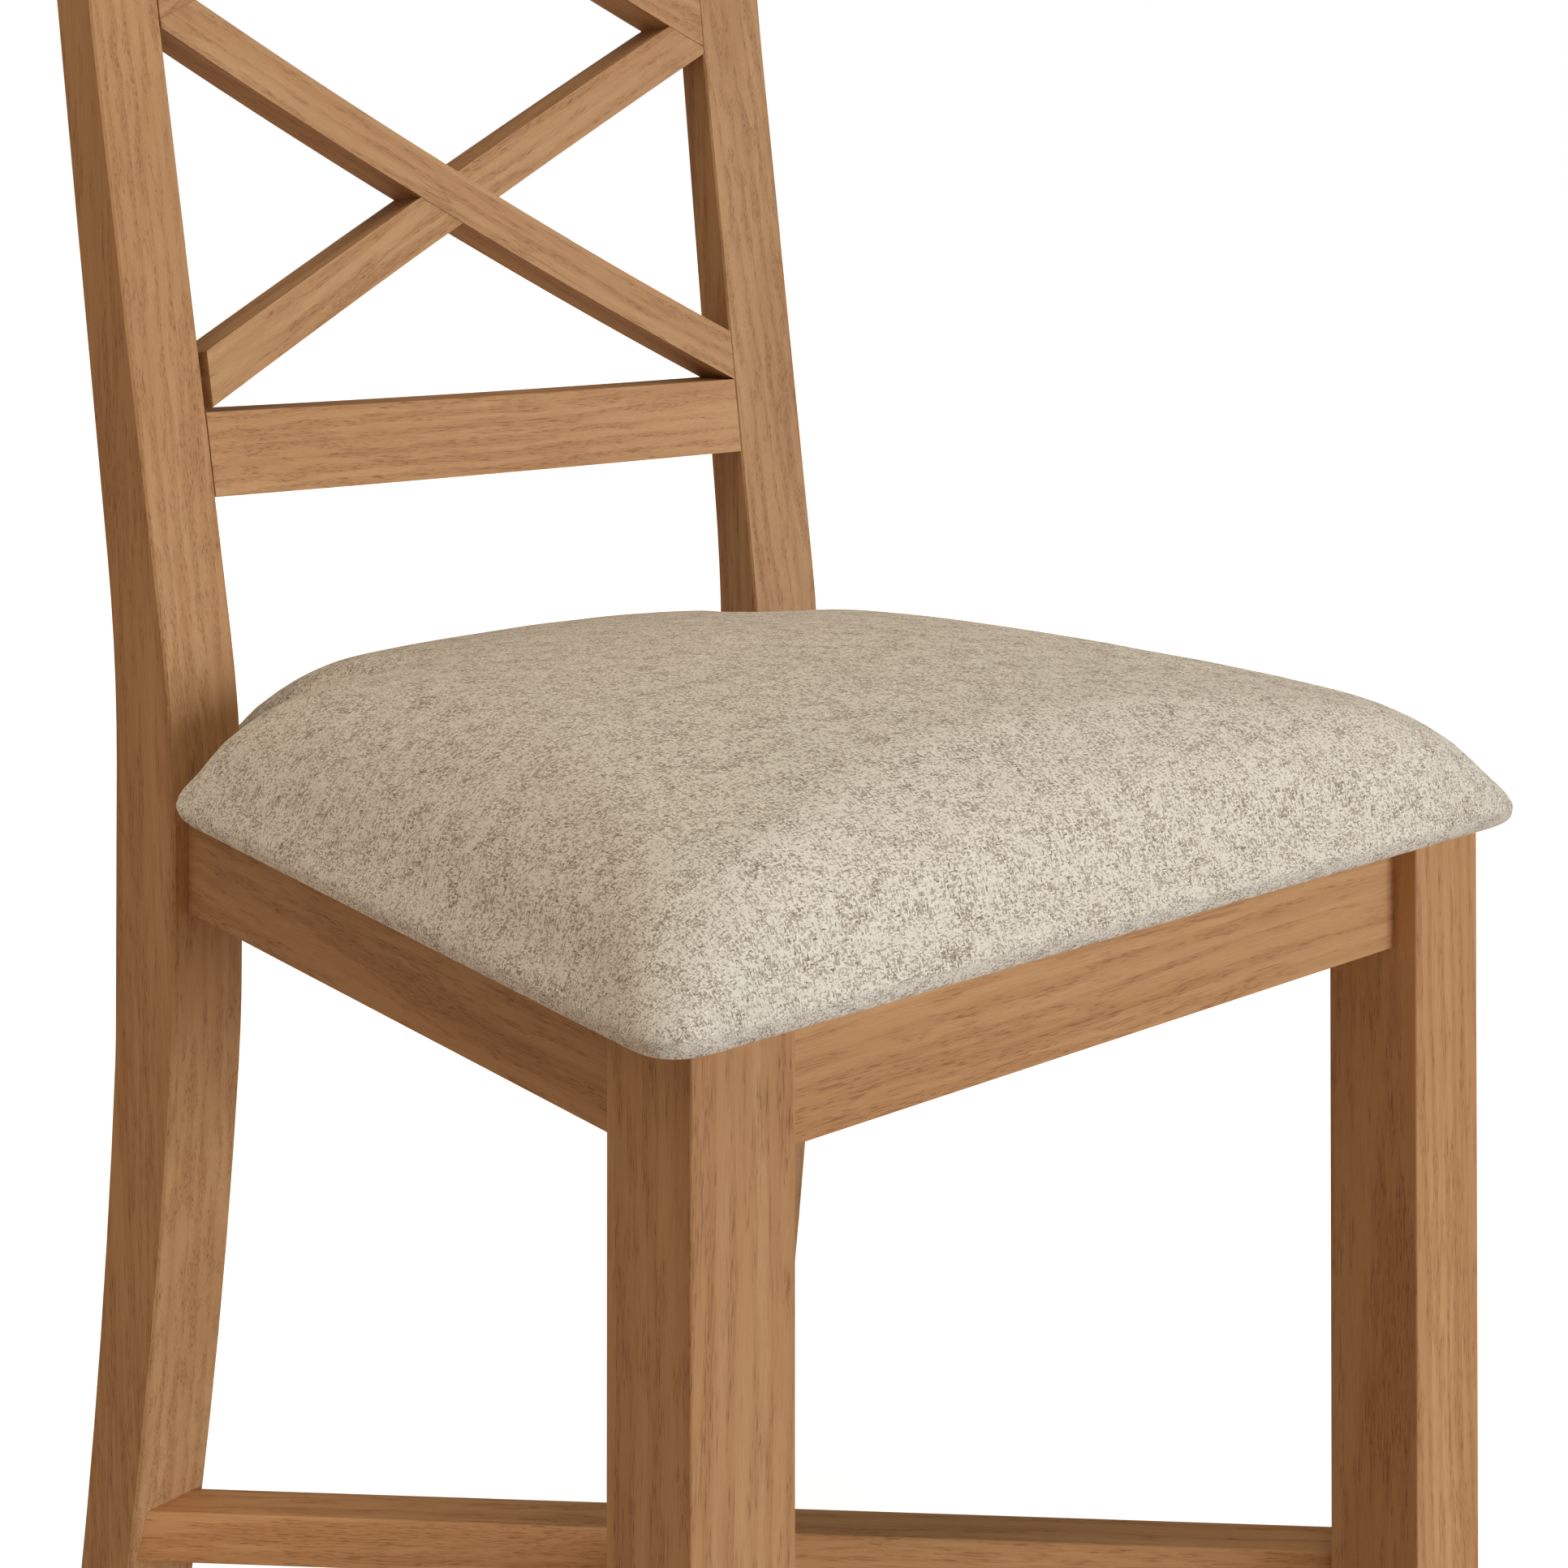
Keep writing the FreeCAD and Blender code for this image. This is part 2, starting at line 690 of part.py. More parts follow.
def pad_outline(inset, rise, height):
    """The pad in plan, notched round the posts. Its corners soften as it rises."""
    front = -pad_overhang_front + inset
    notch = post_setback - pad_post_gap - inset
    widest_front = half_width + pad_overhang_side
    widest_rear = post_spread / 2 + pad_rear_overhang
    narrowing = (widest_front - widest_rear) / (post_setback - leg_side)
    tongue = -inner_corner.x - pad_tongue_gap - inset
    right = [
        Vector(widest_front - inset - (front - leg_side) * narrowing, front, 0),
        Vector(widest_front - inset - (notch - leg_side) * narrowing, notch, 0),
        Vector(tongue, notch, 0),
        Vector(tongue, notch + pad_tongue_length, 0),
    ]
    radii = [
        pad_corner_radius + pad_corner_growth * rise,
        pad_outer_radius,
        pad_inner_radius + pad_rear_growth * rise,
        pad_tongue_radius + pad_rear_growth * rise,
    ]
    left = [Vector(-point.x, point.y, 0) for point in reversed(right)]
    return rounded_outline(right + left, radii + radii[::-1], height)


def pad_form(skin):
    """The whole form of the pad, moved inwards by the thickness of a skin."""
    bottom = rail_top + pad_clearance
    rings = []
    last = len(pad_shoulder) - 1
    for index in range(last + 1):
        inset, rise = pad_shoulder[index]
        before = pad_shoulder[max(index - 1, 0)]
        after = pad_shoulder[min(index + 1, last)]
        run = Vector(after[0] - before[0], after[1] - before[1], 0).normalize()
        moved = inset + skin * run.y
        height = bottom + rise - skin * run.x
        rings.append(pad_outline(moved, rise, height))
    sides = faceted(rings)
    radius = pad_crown_radius - skin
    centre = Vector(0, post_setback / 2, bottom + pad_height - pad_crown_radius)
    dome = [(radius - frame_width, frame_width)]
    for ring in range(dome_rings, 0, -1):
        reach = frame_width * ring / dome_rings
        dome.append((math.sqrt(radius ** 2 - reach ** 2), reach))
    return sides.common(turned(dome, dome_sides, centre, Vector(0, 0, 1)))


def pad_plate(inset, low, high):
    """A flat plate with the outline of the pad."""
    return plate(pad_outline(inset, 0.0, low), low, high)


def seat_board():
    """Plywood under the foam, with a rebate below for the turned-under cover."""
    rebate = pad_clearance + cover_thickness + pad_clearance
    top = pad_plate(pad_under + cover_thickness + board_gap, rail_top + rebate, rail_top + board_thickness)
    seat = pad_plate(pad_under + cover_turn_under + board_gap, rail_top, rail_top + rebate)
    return top.fuse(seat).removeSplitter()


def seat_foam():
    low = rail_top + board_thickness + pad_clearance
    above_board = Part.makeBox(frame_reach, frame_reach, frame_reach, Vector(-frame_width, -leg_side, low))
    return pad_form(cover_thickness + pad_clearance).common(above_board)


def seat_cover():
    """Fabric round the foam and the edge of the board, turned under and open below."""
    opening = pad_plate(pad_under + cover_turn_under, rail_top, rail_top + board_thickness)
    return pad_form(0.0).cut(pad_form(cover_thickness)).cut(opening)


def build():
    """Every piece of the chair by name."""
    plank = cut_to_height(long_plank())
    leg = leg_block()
    pieces = {}
    slots = []
    post_slots = []

    lower_foot = back_rail_top
    pieces["lower_back_rail"], slot = tenoned_rail(back_rail_top - back_rail_height, back_rail_top,
                                                   back_thickness)
    post_slots += slot
    pieces["crest_rail"], slot = tenoned_rail(crest_bottom, crest_top, crest_thickness)
    post_slots += slot
    below = rail_outline(back_rail_top - back_rail_height, back_rail_top)
    above = rail_outline(crest_bottom, crest_top)
    rising = brace_outline(upper_foot, 0.0)
    crosses = (("lower", lower_foot, foot_relief, [below, rising], [below, mirrored(rising)]),
               ("upper", upper_foot, 0.0, [above], [above]))
    for name, foot, relief, over_stops, under_stops in crosses:
        both_ends = name == "upper"
        over, over_slots, over_outline = brace(foot, True, brace_proud, 0.0, both_ends)
        under, under_slots, under_outline = brace(foot, False, 0.0, relief, both_ends)
        over, under = crossed(over, over_outline, under, under_outline, foot)
        post_slots += over_slots + under_slots
        pieces[name + "_brace_falling"] = largest(over.cut(over_stops))
        pieces[name + "_brace_rising"] = largest(under.cut(under_stops))

    start = Vector(-leg_inner, front_rail_setback, 0)
    front_ends = [leg, mirrored(leg)]
    pieces["front_rail"], slot = seat_rail(start, Vector(leg_inner, start.y, 0), rail_thickness, 0.0,
                                           front_ends)
    slots.append(slot)
    start = inner_corner + behind_post * ((post_depth - rail_thickness) / 2)
    rear_face = start.y
    rear_ends = [plank, mirrored(plank)]
    pieces["rear_rail"], slot = seat_rail(start, Vector(-start.x, start.y, 0), rail_thickness, 0.0,
                                          rear_ends)
    slots.append(slot)
    start = Vector(-half_width + side_rail_setback, leg_side, 0)
    end = post_corner + across_post * side_rail_inset
    side_rail, slot = seat_rail(start, end, 0.0, rail_thickness, [leg, plank])
    pieces["left_side_rail"] = side_rail
    pieces["right_side_rail"] = mirrored(side_rail)
    slots += [slot, mirrored(slot)]

    along = (end - start).normalize()
    inner = start + Vector(along.y, -along.x, 0) * rail_thickness
    front_face = front_rail_setback + rail_thickness
    corners = []
    for depth in (front_face, rear_face):
        corners.append(Vector(inner.x + (depth - inner.y) * along.x / along.y, depth, 0))
    opening = corners + [Vector(-point.x, point.y, 0) for point in reversed(corners)]
    inner_frame = plate(opening, rail_underside, rail_top)
    diagonal = math.sqrt(0.5)
    front_inward = Vector(diagonal, diagonal, 0)
    rear_inward = Vector(diagonal, -diagonal, 0)
    front_block = corner_block(Vector(-leg_inner, leg_side, 0), front_inward, inner_frame)
    rear_block = corner_block(inner_corner, rear_inward, inner_frame)
    screws = block_screws(front_block, front_inward) + block_screws(rear_block, rear_inward)
    seat_screws = [seat_screw(front_block), seat_screw(rear_block)]
    screws += [mirrored(piece) for piece in screws]
    seat_screws += [mirrored(piece) for piece in seat_screws]
    pieces["corner_block_screws"] = Part.makeCompound(screws)
    pieces["seat_screws"] = Part.makeCompound(seat_screws)
    pieces["front_left_corner_block"] = front_block.cut(screws + seat_screws)
    pieces["rear_left_corner_block"] = rear_block.cut(screws + seat_screws)
    pieces["front_right_corner_block"] = mirrored(pieces["front_left_corner_block"])
    pieces["rear_right_corner_block"] = mirrored(pieces["rear_left_corner_block"])
    for name in ("front_rail", "rear_rail", "left_side_rail", "right_side_rail"):
        pieces[name] = pieces[name].cut(screws)

    first, first_block = stretcher(plank, leg)
    second = mirrored(first)
    second_block = mirrored(first_block)
    first, second = halved(first, first_block, second, second_block)
    dowels = stretcher_dowels()
    dowels += [mirrored(piece) for piece in dowels]
    pieces["left_stretcher"] = first.cut(dowels)
    pieces["right_stretcher"] = second.cut(dowels)
    pieces["stretcher_dowels"] = Part.makeCompound(dowels)

    foot_faces = [face for face in plank.Faces if abs(face.CenterOfMass.z - foot_height) < touching]
    rear_foot = foot_faces[0].CenterOfMass
    front_foot = Vector(-half_width + leg_side / 2, leg_side / 2, 0)
    front_glide = glide(front_foot)
    rear_glide = glide(rear_foot)
    pieces["front_left_glide"] = front_glide
    pieces["rear_left_glide"] = rear_glide
    pieces["front_right_glide"] = mirrored(front_glide)
    pieces["rear_right_glide"] = mirrored(rear_glide)

    round_leg = rounded(leg, upright_edges(leg), leg_round)
    blank = long_plank()
    soft_post = cut_to_height(blank.makeChamfer(post_bevel, outside_edges(blank)))
    pins = [glide_pin(front_foot), glide_pin(rear_foot)]
    cuts = slots + dowels + pins + [mirrored(pin) for pin in pins]
    pieces["left_front_leg"] = round_leg.cut(cuts)
    pieces["right_front_leg"] = mirrored(round_leg).cut(cuts)
    pieces["left_rear_post"] = soft_post.cut(cuts + post_slots)
    pieces["right_rear_post"] = mirrored(soft_post).cut(cuts + post_slots)

    pieces["seat_board"] = seat_board().cut(seat_screws)
    pieces["seat_foam"] = seat_foam()
    pieces["seat_cover"] = seat_cover().cut(seat_screws)
    cloth = [point + (Vector(0, (front_face + rear_face) / 2, 0) - point).normalize() * cloth_margin
             for point in opening]
    cloth_top = rail_top - pad_clearance
    pieces["dust_cloth"] = plate(cloth, cloth_top - cloth_thickness, cloth_top).cut(seat_screws)
    return pieces


back_surface = back_face()
chair = build()
whole = Part.makeCompound(list(chair.values())).optimalBoundingBox(True, False)
shift = Vector(0, -(whole.YMin + whole.YMax) / 2, 0)
os.makedirs("parts", exist_ok=True)
for name, shape in chair.items():
    shape.translate(shift)
    shape.exportStep("parts/" + name + ".step")
    box = shape.optimalBoundingBox(True, False)
    print(name, len(shape.Solids), round(shape.Volume), shape.isValid(),
          [round(value, 1) for value in (box.XMin, box.XMax, box.YMin, box.YMax, box.ZMin, box.ZMax)])
print("shift along Y", round(shift.y, 3), "height", round(whole.ZMax, 1))
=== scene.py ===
# %% [markdown]
# # A cross back dining chair in oak, with a tweed seat
# The chair's frame was built as solid pieces in a CAD program, and they arrive here as finished meshes.
# They keep their shapes, because every leg, rail and brace has to fit its neighbours. What is left to do
# is what a furniture maker does last: finish the timber, upholster the seat and light it for a picture.
# One could join everything into one mesh first, but separate pieces let the grain follow each board.

import math

import bmesh
import bpy
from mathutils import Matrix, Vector
from mathutils.bvhtree import BVHTree


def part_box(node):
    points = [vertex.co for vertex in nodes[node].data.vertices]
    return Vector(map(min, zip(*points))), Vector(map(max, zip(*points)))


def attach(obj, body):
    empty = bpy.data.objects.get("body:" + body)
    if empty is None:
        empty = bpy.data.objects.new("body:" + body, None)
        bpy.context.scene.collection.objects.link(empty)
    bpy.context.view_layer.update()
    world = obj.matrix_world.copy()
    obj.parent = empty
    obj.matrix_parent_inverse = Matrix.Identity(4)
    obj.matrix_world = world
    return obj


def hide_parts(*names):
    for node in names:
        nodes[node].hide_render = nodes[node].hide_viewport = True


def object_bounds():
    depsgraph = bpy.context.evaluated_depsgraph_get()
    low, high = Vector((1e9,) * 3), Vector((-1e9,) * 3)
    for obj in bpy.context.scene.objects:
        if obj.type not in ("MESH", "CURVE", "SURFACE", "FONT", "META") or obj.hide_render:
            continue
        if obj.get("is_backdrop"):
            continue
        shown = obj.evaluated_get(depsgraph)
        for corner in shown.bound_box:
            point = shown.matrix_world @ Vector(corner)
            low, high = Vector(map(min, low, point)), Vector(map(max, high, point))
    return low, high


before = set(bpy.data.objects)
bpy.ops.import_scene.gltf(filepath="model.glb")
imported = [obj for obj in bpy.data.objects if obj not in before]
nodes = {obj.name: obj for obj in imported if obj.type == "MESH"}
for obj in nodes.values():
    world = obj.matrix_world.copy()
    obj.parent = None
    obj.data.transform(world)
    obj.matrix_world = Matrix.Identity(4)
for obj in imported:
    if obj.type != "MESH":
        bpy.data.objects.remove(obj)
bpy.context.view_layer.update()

# %% [markdown]
# ## The camera
# The picture was taken from the front left, a little above the seat. The lens looks almost level, and the
# frame is shifted down to the chair, as with a view camera. That keeps the legs upright and parallel,
# which tilting the camera would not do.

# %% Camera
leg_low, leg_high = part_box("left_front_leg")
rail_low, rail_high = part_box("front_rail")
camera_left = 0.7322
camera_ahead = 0.6341
camera_above_rail = 0.3211
camera_turn = 41.43
camera_tilt = 0.673
picture_side = 1932
focal_pixels = 3122.9
centre_across = 986.54
centre_down = 202.85
sensor_width = 36.0

camera_data = bpy.data.cameras.new("camera")
camera_data.sensor_width = sensor_width
camera_data.lens = focal_pixels * sensor_width / picture_side
camera_data.shift_x = (picture_side / 2 - centre_across) / picture_side
camera_data.shift_y = (centre_down - picture_side / 2) / picture_side
camera = bpy.data.objects.new("camera", camera_data)
camera.location = (-camera_left, leg_low.y - camera_ahead, rail_low.z + camera_above_rail)
camera.rotation_euler = (math.radians(90 + camera_tilt), 0.0, math.radians(-camera_turn))
bpy.context.scene.collection.objects.link(camera)
bpy.context.scene.camera = camera
print("Camera", tuple(camera.location), "lens", round(camera_data.lens, 2))

# %% [markdown]
# ## Shader arithmetic
# Wood and cloth are patterns made of sums, and a sum is easier to read as a formula than as a row of Math
# nodes. This small class wraps a socket. Adding, subtracting or multiplying two wrapped sockets puts the
# Math node in place and wraps its result.

# %% A wrapped socket
class Wire:
    def __init__(self, finish, socket):
        self.finish = finish
        self.socket = socket

    def math(self, operation, *others):
        return self.finish.node("ShaderNodeMath", {"operation": operation}, [self, *others])

    def __add__(self, other):
        return self.math("ADD", other)

    def __sub__(self, other):
        return self.math("SUBTRACT", other)

    def __rsub__(self, other):
        return self.finish.node("ShaderNodeMath", {"operation": "SUBTRACT"}, [other, self])

    def __mul__(self, other):
        return self.math("MULTIPLY", other)

    __radd__ = __add__
    __rmul__ = __mul__


# %% [markdown]
# ## One place to make nodes
# A finish is a material with its shader. Every other node comes from one method, which sets what kind of
# node it is before its sockets, because some sockets only appear once the kind is chosen.

# %% A finish
class Finish:
    def __init__(self, name):
        self.material = bpy.data.materials.new(name)
        self.material.use_nodes = True
        self.tree = self.material.node_tree
        self.shader = self.tree.nodes["Principled BSDF"]

    def node(self, kind, settings=None, sockets=None, output=0):
        made = self.tree.nodes.new(kind)
        for key, value in (settings or {}).items():
            setattr(made, key, value)
        pairs = sockets.items() if isinstance(sockets, dict) else enumerate(sockets or [])
        for key, value in pairs:
            self.plug(made.inputs[key], value)
        return Wire(self, made.outputs[output])

    def plug(self, socket, value):
        if isinstance(value, Wire):
            self.tree.links.new(value.socket, socket)
        else:
            socket.default_value = value

    def set(self, name, value):
        self.plug(self.shader.inputs[name], value)

    def coordinates(self, kind="Object"):
        return self.node("ShaderNodeTexCoord", output=kind)

    def stretched(self, vector, turn, scale, offset=(0.0, 0.0, 0.0)):
        turned = self.node("ShaderNodeMapping", {"vector_type": "POINT"},
                           {"Vector": vector, "Rotation": turn, "Location": offset})
        return self.node("ShaderNodeMapping", {"vector_type": "POINT"}, {"Vector": turned, "Scale": scale})

    def noise(self, vector, scale, detail=2.0, roughness=0.5, distortion=0.0):
        return self.node("ShaderNodeTexNoise", None, {"Vector": vector, "Scale": scale, "Detail": detail,
                                                      "Roughness": roughness, "Distortion": distortion})

    def between(self, value, low, high, result_low=0.0, result_high=1.0):
        sockets = {"Value": value, "From Min": low, "From Max": high, "To Min": result_low,
                   "To Max": result_high}
        return self.node("ShaderNodeMapRange", {"interpolation_type": "SMOOTHSTEP"}, sockets)

    def mix(self, factor, first, second, blend="MIX"):
        settings = {"data_type": "RGBA", "blend_type": blend}
        return self.node("ShaderNodeMix", settings, {0: factor, 6: first, 7: second}, output=2)

    def bump(self, height, strength, distance):
        sockets = {"Strength": strength, "Distance": distance, "Height": height}
        self.set("Normal", self.node("ShaderNodeBump", None, sockets))


def colour(red, green, blue):
    """A colour as a paint chart gives it, from 0 to 255, in the linear values that shaders use."""
    linear = []
    for value in (red, green, blue):
        share = value / 255
        linear.append(share / 12.92 if share <= 0.04045 else ((share + 0.055) / 1.055) ** 2.4)
    return (*linear, 1.0)


print("Helpers ready")

# %% [markdown]
# ## Oak
# Oiled oak is a warm tan with three kinds of marks. Growth rings show as soft darker bands that run with
# the board and open into pointed arches. Rows of fine open pores follow the rings as short dark dashes.
# Between them the wood has a very fine straight fibre. A photograph of a board would be the quick way,
# but it would repeat on every piece. Here noise in space is stretched along each board, so that its end,
# its edge and its face show the same grain, as in real timber.

# %% Oak colours and sizes
oak_light = colour(194, 155, 110)
oak_mid = colour(184, 142, 98)
oak_warm = colour(156, 109, 67)
oak_pore = colour(110, 71, 42)
ring_spacing = 0.0075
pith_turn = (0.030, 0.022, 0.0)
pith_offset = (0.035, 0.022, 0.0)
pith_stretch = (1.0, 0.6, 0.03)
band_sway = 1.2
sway_reach = 0.006

# Sizes of the marks, across and along the board
sway_size = (0.020, 0.070)
tone_size = (0.012, 0.220)
band_size = (0.0035, 0.120)
patch_size = (0.0018, 0.016)
region_size = (0.010, 0.090)
dash_size = (0.00024, 0.0034)
hair_size = (0.00020, 0.0130)
fibre_size = (0.00020, 0.0070)

# How much of the darker colour each kind of mark gives
band_share = 0.30
ring_share = 0.20
patch_share = 0.20
fibre_share = 0.24
hair_share = 0.24
pore_share = 0.46


def grain(finish, board, size, detail=2.0, roughness=0.5):
    """Noise whose marks have about this size across and along the board."""
    across, along = size
    stretch = (0.5 / across, 0.5 / across, 0.5 / along)
    return finish.noise(finish.stretched(board, (0, 0, 0), stretch), 1.0, detail, roughness)


# %% Oak finish
def oak_finish(name, turn, offset, painted_light):
    oak = Finish(name)
    straight = oak.stretched(oak.coordinates(), turn, (1.0, 1.0, 1.0), offset)
    sway = (grain(oak, straight, sway_size) - 0.5) * sway_reach
    shift = oak.node("ShaderNodeCombineXYZ", None, [sway, sway, 0.0])
    board = oak.node("ShaderNodeVectorMath", {"operation": "ADD"}, [straight, shift])

    tone = grain(oak, board, tone_size)
    band = grain(oak, board, band_size, 3.0, 0.6)
    patch = grain(oak, board, patch_size)
    region = grain(oak, board, region_size, 1.0)
    dash = grain(oak, board, dash_size, 1.0, 0.4)
    hair = grain(oak, board, hair_size, 1.0, 0.4)
    fibre = grain(oak, board, fibre_size, 2.0, 0.7)

    pith = oak.stretched(board, pith_turn, pith_stretch, pith_offset)
    distance = oak.node("ShaderNodeVectorMath", {"operation": "LENGTH"}, [pith], output=1)
    turns = (distance * (1 / ring_spacing) + band * band_sway).math("FRACT")
    ring = oak.between(turns, 0.25, 0.85) * oak.between(turns, 1.0, 0.90)

    where = oak.between(patch + ring * 0.14 + (region - 0.5) * 0.5, 0.50, 0.66)
    pore = oak.between(dash, 0.55, 0.67) * (where * 0.90 + 0.10)
    line = oak.between(hair, 0.52, 0.66) * (where * 0.7 + 0.3)

    base = oak.mix(oak.between(tone, 0.30, 0.70), oak_light, oak_mid)
    warm_marks = (oak.between(band, 0.45, 0.75) * band_share, ring * ring_share, where * patch_share,
                  oak.between(fibre, 0.40, 0.70) * fibre_share)
    for mark in warm_marks:
        base = oak.mix(mark, base, oak_warm)
    for mark in (line * hair_share, pore * pore_share):
        base = oak.mix(mark, base, oak_pore)
    # The board's factor paints light or shade over its whole colour.
    oak.set("Base Color", oak.mix(1.0, base, (painted_light, painted_light, painted_light, 1.0), "MULTIPLY"))
    oak.set("Roughness", 0.52 + pore * 0.15 + oak.between(fibre, 0.3, 0.7) * 0.06)
    oak.set("Specular IOR Level", 0.24)
    oak.bump(oak.between(fibre, 0.2, 0.8) * 0.30 - pore, 0.25, 0.0001)
    return oak.material


# %% [markdown]
# ## Which way the grain runs
# A joiner cuts every piece with the grain along its length, so the long way of a mesh tells the direction.
# It could be typed in for each piece, but measuring it also gets the slope of the braces right. The two
# corners of a piece that lie farthest apart are near enough for a rail, and a brace needs a truer answer:
# the direction in which its points spread most, which repeated multiplication by their spread finds.
# A few boards get a factor that makes them paler or darker. It is painted light and shade, which lifts
# pieces in shade such as the stretchers. Every board starts at its own place in the pattern.

# %% Grain directions
first_guess = (0.31, 0.42, 0.85)
guess_rounds = 30


def long_direction(node):
    """The direction in which the points of a piece spread most."""
    points = [vertex.co for vertex in node.data.vertices]
    middle = sum(points, Vector()) / len(points)
    direction = Vector(first_guess)
    for guess_round in range(guess_rounds):
        total = Vector()
        for point in points:
            arm = point - middle
            total += arm * arm.dot(direction)
        direction = total.normalized()
    return direction if direction.z >= 0 else -direction


# Painted light and shade: each factor brightens or darkens a whole board for the light it should catch.
board_painted_light = {"right_front_leg": 1.14, "front_rail": 1.13, "left_stretcher": 1.44,
                  "right_stretcher": 1.44, "right_rear_post": 0.95, "left_front_leg": 0.98,
                  "lower_back_rail": 1.08, "left_rear_post": 1.03}
oak_pieces = [name for name in nodes if name.endswith(("_leg", "_post", "_rail", "_stretcher"))]
oak_pieces += [name for name in nodes if "_brace_" in name]
board_step = (0.173, 0.291, 0.437)
board_reach = 0.06
for index, name in enumerate(sorted(oak_pieces)):
    direction = long_direction(nodes[name])
    turn = direction.rotation_difference(Vector((0, 0, 1))).to_euler("XYZ")
    offset = [step * (index + 1) % 1.0 for step in board_step]
    low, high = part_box(name)
    middle = turn.to_matrix() @ ((low + high) / 2)
    finish = oak_finish("oak_" + name, tuple(turn), tuple(Vector(offset) * board_reach - middle),
                        board_painted_light.get(name, 1.0))
    nodes[name].data.materials.clear()
    nodes[name].data.materials.append(finish)
    print(name, "grain along", tuple(round(value, 2) for value in direction))

# %% [markdown]
# ## The pieces that hardly show
# Under the seat are beech corner blocks, a plywood board, steel screws, a black dust cloth and plastic
# glides. One grey finish would do for all of them, but the chair is also looked at from below, so each
# material gets its own. All of them mix their tones by a fine noise. The beech grain runs at 45 degrees, as
# the blocks lie across the corners, and the plywood shows its layers.

# %% Hidden finishes
block_turn = (0, 0, 0.785)
beech_fleck = 900.0
beech_tone = 60.0
plies_in_a_metre = 500.0
veneer_grain = 500.0
foam_cells = 700.0
lining_fibres = 1400.0
steel_scratches = 1200.0
glide_haze = 300.0


def beech_finish():
    beech = Finish("beech")
    place = beech.coordinates()
    fleck = beech.noise(beech.stretched(place, block_turn, (1.0, 0.1, 1.0)), beech_fleck)
    tone = beech.noise(beech.stretched(place, block_turn, (1.0, 0.2, 1.0)), beech_tone)
    base = beech.mix(beech.between(tone, 0.3, 0.7), colour(214, 180, 138), colour(196, 158, 116))
    beech.set("Base Color", beech.mix(beech.between(fleck, 0.55, 0.75) * 0.5, base, colour(160, 116, 78)))
    beech.set("Roughness", 0.62)
    return beech.material


def plywood_finish():
    plywood = Finish("plywood")
    place = plywood.coordinates()
    height = plywood.node("ShaderNodeSeparateXYZ", None, [place], output="Z")
    ply = plywood.between((height * plies_in_a_metre).math("FRACT"), 0.45, 0.55)
    streak = plywood.noise(plywood.stretched(place, (0, 0, 0), (1.0, 0.06, 1.0)), veneer_grain, 3.0)
    base = plywood.mix(plywood.between(streak, 0.3, 0.7), colour(214, 184, 142), colour(186, 150, 108))
    plywood.set("Base Color", plywood.mix(ply * 0.35, base, colour(150, 112, 76)))
    plywood.set("Roughness", 0.7)
    return plywood.material


def foam_finish():
    foam = Finish("foam")
    cells = foam.noise(foam.coordinates(), foam_cells)
    # Painted shade in the cells' hollows: the darker tone follows the cell noise.
    cell_shade = foam.between(cells, 0.3, 0.7)
    foam.set("Base Color", foam.mix(cell_shade, colour(226, 214, 172), colour(206, 190, 146)))
    foam.set("Roughness", 0.95)
    foam.bump(cells, 0.4, 0.0004)
    return foam.material


def lining_finish():
    lining = Finish("lining")
    fibres = lining.noise(lining.coordinates(), lining_fibres, 3.0, 0.7)
    felt = lining.between(fibres, 0.3, 0.7)
    lining.set("Base Color", lining.mix(felt, colour(38, 38, 40), colour(62, 62, 64)))
    lining.set("Roughness", 0.9)
    lining.bump(fibres, 0.3, 0.0002)
    return lining.material


def screw_finish():
    steel = Finish("zinc_screw")
    scratch = steel.noise(steel.coordinates(), steel_scratches, 3.0)
    steel.set("Base Color", steel.mix(scratch, colour(168, 168, 164), colour(204, 204, 200)))
    steel.set("Metallic", 1.0)
    steel.set("Roughness", 0.30 + scratch * 0.2)
    return steel.material


def glide_finish():
    glide = Finish("glide")
    haze = glide.noise(glide.coordinates(), glide_haze, 3.0)
    glide.set("Base Color", glide.mix(haze, colour(74, 58, 46), colour(92, 74, 60)))
    glide.set("Roughness", 0.42 + haze * 0.15)
    return glide.material


hidden = {"_corner_block": beech_finish(), "seat_board": plywood_finish(), "seat_foam": foam_finish(),
          "dust_cloth": lining_finish(), "_screws": screw_finish(), "_dowels": beech_finish(),
          "_glide": glide_finish(), "seat_cover": lining_finish()}
for ending, finish in hidden.items():
    for name in nodes:
        if name.endswith(ending):
            nodes[name].data.materials.clear()
            nodes[name].data.materials.append(finish)
print("Finished the hidden pieces")

# %% [markdown]
# ## The seat pad
# The real pad is foam on a board, with a cover pulled tight over it. It bulges where nothing holds it and
# lies flat on the rails. It could be sculpted by hand, but then every dimple is a guess. Here the solid
# pad's pieces are melted into one even skin, and a cloth simulation blows it up a little from inside.

# %% Pad skin
voxel = 0.004
pad_parts = ["seat_cover", "seat_foam", "seat_board"]
blank = bmesh.new()
for name in pad_parts:
    blank.from_mesh(nodes[name].data)
bmesh.ops.remove_doubles(blank, verts=blank.verts, dist=0.00001)
pad_mesh = bpy.data.meshes.new("seat_pad")
blank.to_mesh(pad_mesh)
blank.free()
pad = bpy.data.objects.new("seat_pad", pad_mesh)
bpy.context.scene.collection.objects.link(pad)
remesh = pad.modifiers.new("even skin", "REMESH")
remesh.mode = "VOXEL"
remesh.voxel_size = voxel


def applied(piece):
    """The piece's mesh with its modifiers worked in, and the modifiers taken off."""
    graph = bpy.context.evaluated_depsgraph_get()
    mesh = bpy.data.meshes.new_from_object(piece.evaluated_get(graph))
    piece.modifiers.clear()
    piece.data = mesh
    return mesh


